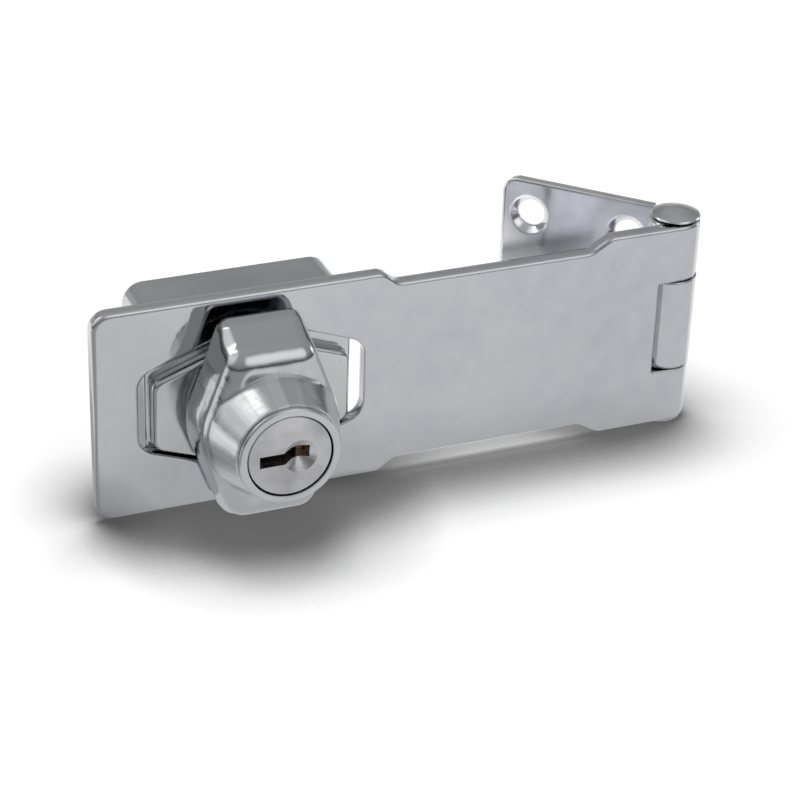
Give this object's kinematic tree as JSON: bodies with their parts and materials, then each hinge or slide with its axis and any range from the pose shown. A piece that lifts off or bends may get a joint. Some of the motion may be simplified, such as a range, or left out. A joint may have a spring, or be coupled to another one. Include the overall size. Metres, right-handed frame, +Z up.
{
  "type": "keyed door hasp",
  "caption": "Keyed door hasp: slotted strap on a hinged screw-on leaf, and a screw-on base box whose winged knob with key cylinder turns to hold the strap.",
  "frame": {"origin": "centre of the base box's back, on the wall plane and on the knob's axis", "axes": "+X along the strap towards the hinge, -Y out of the wall towards the user, +Z up along the hinge pin"},
  "size_m": [0.1134, 0.0512, 0.0418],
  "materials": {
    "cast_chrome": "polished chrome plate on cast zinc",
    "plated_sheet": "bright plate on pressed steel",
    "satin_plug": "satin plate with faint turning marks",
    "spring_steel": "plain spring steel",
    "plain_steel": "plain zinc-plated steel",
    "brass": "plain brass"
  },
  "bodies": {
    "base": {"base_housing": "cast_chrome", "strap": "plated_sheet", "hinge_pin": "plated_sheet", "friction_washer": "plain_steel"},
    "leaf": {"hinge_leaf": "plated_sheet"},
    "knob": {"knob_body": "cast_chrome", "cylinder_sleeve": "cast_chrome", "cylinder_pin": "plain_steel", "stop_washer": "plain_steel", "retaining_ring": "spring_steel"},
    "plug": {"lock_plug": "satin_plug", "plug_clip": "spring_steel", "wafer_1": "brass", "wafer_2": "brass", "wafer_3": "brass", "wafer_4": "brass", "wafer_5": "brass", "wafer_springs": "spring_steel"},
    "bolt": {"locking_bolt": "plain_steel"}
  },
  "joints": [
    {"name": "leaf_hinge", "type": "hinge", "parent": "base", "child": "leaf", "pos_m": [0.08095, -0.00988, 0], "axis": [0, 0, -1], "range_deg": [-52, 218]},
    {"name": "knob_turn", "type": "hinge", "parent": "base", "child": "knob", "pos_m": [0, -0.02, 0], "axis": [0, -1, 0], "range_deg": [-90, 0]},
    {"name": "plug_turn", "type": "hinge", "parent": "knob", "child": "plug", "pos_m": [0, -0.03, 0], "axis": [0, -1, 0], "range_deg": [0, 90]},
    {"name": "bolt_slide", "type": "slide", "parent": "knob", "child": "bolt", "axis": [1, 0, 0], "range_m": [0, 0.002]}
  ],
  "couplings": [
    {"joint": "bolt_slide", "follows": "plug_turn", "m_per_rad": 0.0012732}
  ]
}
